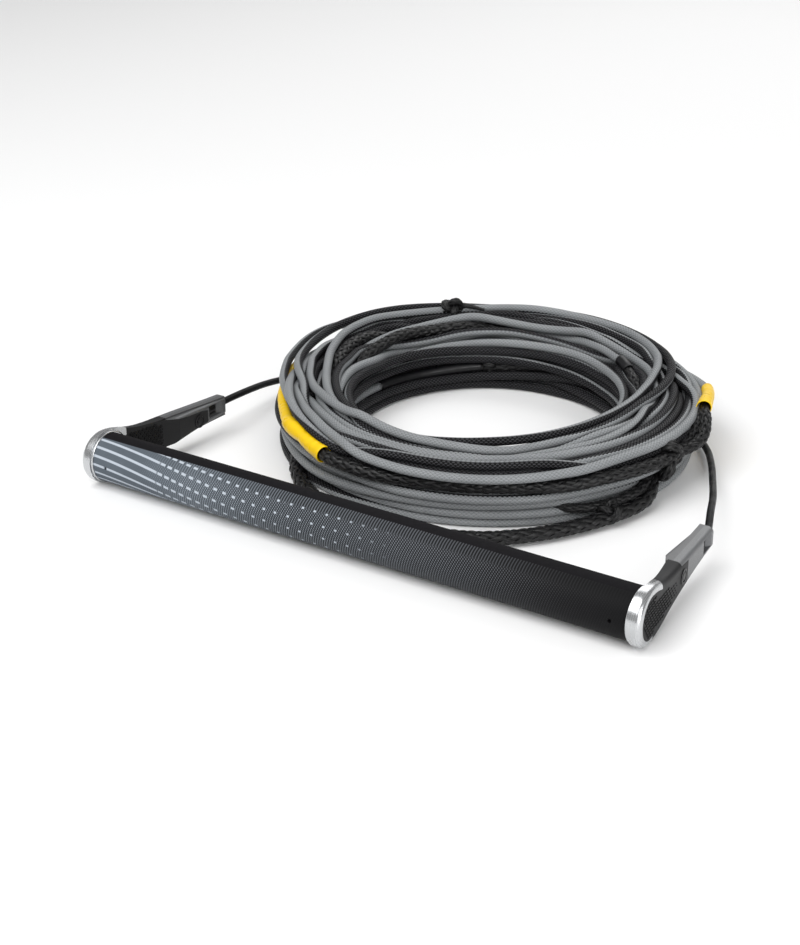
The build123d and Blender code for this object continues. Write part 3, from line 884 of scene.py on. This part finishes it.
ROPE_COVER = rope_cover()
BARE_BRAID = fibre((0.004, 0.004, 0.0045))
COATED_LINE = coated_line()
YELLOW = shrink_sleeve("yellow_sleeve", (0.90, 0.58, 0.004), 0.55 * MM)
BLACK_SLEEVE = shrink_sleeve("black_sleeve", (0.006, 0.006, 0.007), 0.2 * MM)
GRIP_PRINT = foam_grip()
ALLOY = polished_alloy()
RUBBER = moulded("arm_rubber", (0.010, 0.010, 0.0105), (0.018, 0.018, 0.019), 0.5, 1100.0, 0.06, 0.16)
STUD_BLACK = moulded("stud_black", (0.0025, 0.0025, 0.003), (0.005, 0.005, 0.005), 0.42, 1100.0, 0.04, 0.12)
NYLON = moulded("core_nylon", (0.012, 0.012, 0.013), (0.020, 0.020, 0.022), 0.5)
BADGE = moulded("badge_black", (0.004, 0.004, 0.0045), (0.007, 0.007, 0.0075), 0.28, 700.0, 0.02)
STOPPER = moulded("stopper_black", (0.004, 0.004, 0.0045), (0.008, 0.008, 0.0085), 0.4)
FLOAT_FOAM = moulded("float_foam", (0.05, 0.05, 0.055), (0.07, 0.07, 0.075), 0.85, 1500.0, 0.2)
SHELL_OUTER = flecked_nylon("shell_outer_grey", (0.130, 0.133, 0.137))
SHELL_INNER = flecked_nylon("shell_inner_grey", (0.092, 0.094, 0.097))

NODE_MATERIALS = {
    "grip_cover": GRIP_PRINT, "core_tube": ALLOY, "foam_float": FLOAT_FOAM, "collar": ALLOY, "end_cap": ALLOY,
    "arm_core": NYLON, "arm_rubber": RUBBER, "shell_outer": SHELL_OUTER, "shell_inner": SHELL_INNER,
    "badge_outer": BADGE, "badge_inner": BADGE, "line_stopper": STOPPER,
}


def dress_cad_nodes():
    for name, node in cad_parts.items():
        material = NODE_MATERIALS.get(name) or NODE_MATERIALS.get(name.rsplit("_", 1)[0])
        if material:
            for slot in node.material_slots:
                slot.material = material


dress_cad_nodes()


# ---- cords ----
def attach(piece, replaces=()):
    """The piece rests with the rope and stands in for the solids that it replaces."""
    if replaces:
        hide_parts(*replaces)
    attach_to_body(piece, "rope")


def covered_rope(name, points, facing, replaces=()):
    """The two-tone rope; facing gives the way its grey half faces at shares of the points."""
    line = resample(spline_points(points, 4), ROPE_STEP)
    v = arc_length(line)
    turns = np.interp(v / v[-1], np.linspace(0, 1, len(facing)), facing)
    piece = tube(name, line, ROPE / 2, ROPE_COVER, turns, frames=level_frames)
    attach(piece, replaces)


def bare_braid(name, points, diameter=BRAID, replaces=(), spread=None):
    line = resample(spline_points(points, 6), BRAID_ROUTE_STEP)
    piece = braid(name, line, diameter, spread)
    attach(piece, replaces)


KNOT_POINTS = 90
SLEEVE_SIDES = 28
SLEEVE_WALL = 0.45 * MM
WAVE, RIPPLE, RIPPLE_DRIFT = 260, 900, 230  # radians for each metre along a sleeve
# Radii in millimetres at shares of the length.
LEFT_RADII = [
    (0, 3.2), (0.35, 3.4), (0.63, 3.5), (0.68, 4.6), (0.76, 4.8), (0.82, 3.9), (0.9, 4.5), (1, 5.0),
]
RIGHT_RADII = [(0, 3.6), (0.6, 3.9), (0.8, 4.5), (0.92, 4.5), (1, 4.8)]
LABEL_RADII = [(0, 3.3), (0.06, 3.6), (0.94, 3.6), (1, 3.3)]


def wrinkles(v, depth, seed):
    """How far a shrink sleeve stands out at each ring and side, in the same unit as depth."""
    phase = np.random.default_rng(seed).uniform(0, 2 * math.pi, 4)
    angle = np.arange(SLEEVE_SIDES) * 2 * math.pi / SLEEVE_SIDES
    waves = sum(np.sin((k + 1) * angle[None] + phase[k] + WAVE * (k + 1) * v[:, None] / 3) / (k + 1.5)
                for k in range(3))
    ripple = np.sin(v * RIPPLE + 2 * np.sin(v * RIPPLE_DRIFT + phase[3]))[:, None]
    return depth * (0.6 * waves + 0.35 * ripple)


def sleeve(name, points, radii, material, replaces=(), seed=5, wrinkle=0.25):
    """A shrink sleeve along the points, open at both ends."""
    line = resample(spline_points(points, 6), SLEEVE_STEP)
    v = arc_length(line)
    radius = np.interp(v / v[-1], *np.transpose(radii))
    radius = np.convolve(np.pad(radius, 2, mode="edge"), np.ones(5) / 5, mode="valid")
    shaped = (radius[:, None] + wrinkles(v, wrinkle, seed))[..., None] * MM
    across = frames_along(line)
    outer = carried(line, across, circle(SLEEVE_SIDES)[None] * shaped)
    inner = carried(line, across, circle(SLEEVE_SIDES)[None] * (shaped - SLEEVE_WALL))
    # the outside, then back along the inside, so that the open ends show their thickness
    vertices = np.concatenate([outer, inner[::-1]]).reshape(-1, 3)
    run = np.concatenate([v, v[::-1], v[:1]])
    faces, i, j = ring_faces(len(run), SLEEVE_SIDES)
    piece = mesh_object(name, vertices, faces % len(vertices), material, ring_uvs(run, i, j, SLEEVE_SIDES))
    attach(piece, replaces)
    return piece


def overhand_knot(name, centre, size, diameter, tilt, replaces=()):
    """A tight overhand knot: a closed trefoil of the braid, turned and tipped about its centre."""
    t = np.linspace(0, 2 * math.pi, KNOT_POINTS)
    line = np.stack([np.sin(t) + 2 * np.sin(2 * t), np.cos(t) - 2 * np.cos(2 * t), -1.5 * np.sin(3 * t)], 1)
    line *= size / 6 * MM
    cy, sy, cp, sp = math.cos(tilt[0]), math.sin(tilt[0]), math.cos(tilt[1]), math.sin(tilt[1])
    yaw = np.array([[cy, -sy, 0], [sy, cy, 0], [0, 0, 1]])
    turn = yaw @ np.array([[1, 0, 0], [0, cp, -sp], [0, sp, cp]])
    piece = braid(name, line @ turn.T + np.array(centre) * MM, diameter)
    attach(piece, replaces)
    return piece


def make_main_rope():
    end = MAIN_TO_SLEEVE + COVER_TO
    angles = MAIN.angles[MAIN.angles <= end]
    facing = np.interp(angles, *np.transpose(MAIN_FACING))
    covered_rope("tow_rope", MAIN.points(angles[0], end), facing, replaces=["coil"])
    sleeved = MAIN.points(MAIN_TO_SLEEVE + SLEEVE_LEFT_FROM, MAIN_TO_SLEEVE + SLEEVE_LEFT_TO)
    yellow = sleeve("yellow_sleeve_left", sleeved, LEFT_RADII, YELLOW, ["sleeve_left"])
    tucked = ([0, 0.03, 0.055, 1], [0.6, 0.8, 1, 1])
    bare_braid("front_splice", MAIN.points(MAIN_TO_SLEEVE + BRAID_FROM, MAIN_END),
               spread=tucked)


def make_bridles():
    for side, sign in (("right", 1), ("left", -1)):
        name = f"bridle_{side}"
        route = [(sign * BRIDLE_X, y, BRIDLE_Z) for y in BRIDLE_START_Y] + BRIDLE_PATHS[side]
        route += [tuple(p) for p in BRIDLE_ROUND[side].points()]
        line = resample(spline_points(route, 6), LINE_STEP)
        piece = tube(f"{name}_line", line, LINE / 2, COATED_LINE)
        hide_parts(name, f"line_stub_{side}")
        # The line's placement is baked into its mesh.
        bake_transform(piece)


# Stretches of the rope's other sections: the strand, the black sleeve's two angles and the node that it
# replaces, the bare braid's diameter in millimetres, and the ways that the covered rope faces.
SECTIONS = (
    ("back", BACK_LINE, 173, 123, "label_sleeve_1", 8.6, (0.2, 0.0, 0.1)),
    ("high", HIGH_LINE, 98, 84, "label_sleeve_2", 7.6, (-0.05, 0.02)),
    ("right", RIGHT_LINE, 66, 52, "label_sleeve_3", 7.4, (0.5, 0.45)),
    ("upper", UPPER_LINE, 62, 50, None, 7.4, (-0.05, 0.0)),
)
SPLICE_SPREAD = ([0, 0.08, 0.14, 0.22, 0.34, 1], [0.72, 0.8, 1.1, 1.2, 1.0, 1.0])


def make_sections():
    """Covered rope, joining sleeve, then bare braid."""
    for name, strand, label_from, label_to, node, wide, facing in SECTIONS:
        start, end = strand.angles[0], strand.angles[-1]
        covered_rope(f"{name}_section", strand.points(start, label_from - 4), facing)
        pieces = [sleeve(f"{name}_label_sleeve", strand.points(label_from + 1, label_to), LABEL_RADII,
                         BLACK_SLEEVE, [node] if node else (), wrinkle=0.06)]
        if name == "back":
            x, y, z = strand.points(label_to - 3, label_to - 6)[0]
            pieces.append(overhand_knot("knot_back", (x, y, z + BACK_KNOT_LIFT), *BACK_KNOT))
        bare_braid(f"{name}_splice", strand.points(label_to + 5, end), wide * MM,
                   spread=SPLICE_SPREAD)
    bare_braid("corner_splice", CORNER_LINE.points(), CORNER_BRAID)
    bare_braid("corner_loop", CORNER_LOOP.points(), CORNER_BRAID)


def make_right_loop():
    knot = overhand_knot("knot_right_tied", *KNOTS["knot_right_tied"], ["knot_right"])
    covered_rope("loop_feed", LOOP_FEED_ROUTE, (0.0, 0.1))
    yellow = sleeve("yellow_sleeve_right", SLEEVE_RIGHT_ROUTE, RIGHT_RADII, YELLOW,
                    ["sleeve_right"], seed=8)
    tucked = ([0, 0.13, 0.3, 1], [0.5, 0.55, 1.0, 1.0])
    bare_braid("loop_right_braid", LOOP_ROUTE, LOOP_BRAID, ["loop_right"], tucked)
    bare_braid("loop_right_inner", LOOP_INNER_ROUTE, THIN_BRAID, spread=tucked)


def make_top_knot():
    knot = overhand_knot("knot_top_tied", *KNOTS["knot_top_tied"], ["knot_top"])
    bare_braid("knot_top_end", KNOT_END_ROUTE, KNOT_END_BRAID,
               spread=([0, 0.6, 1], [1, 0.9, 0.3]))


def make_tow_line():
    """The bare line that passes in front of the coil, with its eye tied by a small knot."""
    knot = overhand_knot("eye_knot", *KNOTS["eye_knot"])
    bare_braid("tow_line_braid", TOW_LINE_ROUTE, TOW_LINE_BRAID, ["tow_line"])
    bare_braid("eye_loop_leg", EYE_LEG_ROUTE, THIN_BRAID)


# ---- raised pattern on the arms' rubber ----
# Measured from the bar's axis in millimetres, as the arms are drawn: Y towards the tips, Z up.
ARM_OUTER_X, ARM_TOE_IN = 182.1, 0.118
ARM_THICKNESS = ((5, 40), (4.91, 8.3))
ARM_ROUND = 16.2
ARM_TOP = ((0, 17, 45, 94), (16.2, 12.7, 10.5, 9.0))
ARM_LOW = ((0, 28, 54, 94), (-16.2, -11.5, -6.9, -3.5))
STUD_ROOT = 0.25
STUD_SHOULDER, STUD_TOP_SIZE = 0.6, 0.72
HEXAGON_HEIGHT, HEXAGON_SIZE = 0.45, (1.32, 1.12)
BRICK_HEIGHT, BRICK_SIZE = 0.4, (0.95, 0.55)
# Rows of studs: from and to along Y, the pitches along Y and Z, and the distance kept from the arm's edge.
HEXAGON_GRID, HEXAGON_FADE = (17.0, 46, 2.9, 1.85, 2.2), (39, 50)
BRICK_GRID, BRICK_FADE = (-11, 38, 3.2, 2.1, 5.6), (20, 40)
GRID_HALF, LEAST_STUD = 16, 0.38


def inside_arm(y, z, inset):
    if y < 0:
        return math.hypot(y, z) < ARM_ROUND - inset
    return np.interp(y, *ARM_LOW) + inset < z < np.interp(y, *ARM_TOP) - inset


def stud(outline, centre, height, outward, side):
    """One raised stud: its outline stands on the arm's face, and its top is a little smaller."""
    rings = []
    for rise, size in ((-STUD_ROOT, 1.0), (height * STUD_SHOULDER, 1.0), (height, STUD_TOP_SIZE)):
        for dy, dz in outline * size:
            y, z = centre[0] + dy, centre[1] + dz
            depth = 0 if outward > 0 else np.interp(y, *ARM_THICKNESS)
            x = ARM_OUTER_X - ARM_TOE_IN * y - depth + outward * rise
            rings.append((side * x * MM, y * MM + BAR_Y, z * MM + BAR_Z))
    return rings


def stud_faces(n, first):
    """The sides between the three rings of n points, the top and the root."""
    faces = []
    for low in (first, first + n):
        faces += [(low + j, low + (j + 1) % n, low + n + (j + 1) % n, low + n + j) for j in range(n)]
    faces.append(tuple(first + 2 * n + j for j in range(n)))
    faces.append(tuple(first + j for j in reversed(range(n))))
    return faces


def studs(name, outline, places, height, outward, side):
    vertices, faces = [], []
    for y, z, size in places:
        faces += stud_faces(len(outline), len(vertices))
        vertices += stud(outline * size, (y, z), height * min(1, size + 0.2), outward, side)
    piece = mesh_object(name, vertices, faces, STUD_BLACK)
    piece.data.shade_flat()
    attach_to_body(piece, "handle")


def grid_places(y_from, y_to, pitch_y, pitch_z, inset, below, fade):
    """Rows of places, every other one shifted by half, inside the arm's edge and below a height over y.

    The studs shrink between the two ends of fade.
    """
    places = []
    for row, z in enumerate(np.arange(-GRID_HALF, GRID_HALF, pitch_z)):
        for y in np.arange(y_from + (row % 2) * pitch_y / 2, y_to, pitch_y):
            size = 1 - (1 - LEAST_STUD) * np.clip((y - fade[0]) / (fade[1] - fade[0]), 0, 1)
            if inside_arm(y, z, inset) and z < below(y):
                places.append((y, z, size))
    return places


def make_studs():
    hexagon = circle(6)[:, ::-1] * HEXAGON_SIZE
    brick = np.array([(-1, -1), (1, -1), (1, 1), (-1, 1)]) * BRICK_SIZE
    inner = grid_places(*HEXAGON_GRID, lambda y: 8.4 - 0.02 * (y - 20), HEXAGON_FADE)
    outer = grid_places(*BRICK_GRID, lambda y: GRID_HALF if y < 6 else 7.2 - 0.09 * y, BRICK_FADE)
    for label, side in (("right", 1), ("left", -1)):
        studs(f"hex_studs_{label}", hexagon, inner, HEXAGON_HEIGHT, -1, side)
        studs(f"brick_studs_{label}", brick, outer, BRICK_HEIGHT, 1, side)


make_studs()
make_main_rope()
make_bridles()
make_sections()
make_right_loop()
make_top_knot()
make_tow_line()


# ---- floor and light ----
FLOOR_SIZE, FLOOR_DROP = 40, 0.5 * MM
AIM_AT = (0, 0.06, 0.01)
WORLD_STRENGTH = 0.38
# name, place, size in metres, power in watts
LIGHTS = (
    ("key", (-0.3, -0.9, 1.5), 1.6, 30),
    ("fill", (1.5, -0.9, 0.6), 1.3, 22),
    ("back", (-0.2, 1.6, 1.3), 1.5, 14),
)


def make_floor():
    bpy.ops.mesh.primitive_plane_add(size=FLOOR_SIZE, location=(0, 0, -FLOOR_DROP))
    floor = bpy.context.object
    floor.name = "floor"
    floor.data.materials.append(Graph("floor", base=(0.86, 0.86, 0.86), roughness=0.9).material)


def make_light(name, place, size, power):
    data = bpy.data.lights.new(name, "AREA")
    data.size = size
    data.energy = power
    light = bpy.data.objects.new(name, data)
    light.location = place
    x, y, z = np.array(AIM_AT) - np.array(place)
    light.rotation_euler = (math.atan2(math.hypot(x, y), -z), 0, math.atan2(y, x) - math.pi / 2)
    bpy.context.scene.collection.objects.link(light)


def make_stage():
    make_floor()
    world = bpy.data.worlds.new("studio")
    world.use_nodes = True
    background = world.node_tree.nodes["Background"]
    background.inputs["Color"].default_value = (1, 1, 1, 1)
    background.inputs["Strength"].default_value = WORLD_STRENGTH
    bpy.context.scene.world = world
    for light in LIGHTS:
        make_light(*light)
    view = bpy.context.scene.view_settings
    view.view_transform = "Standard"
    view.look = "None"


make_stage()
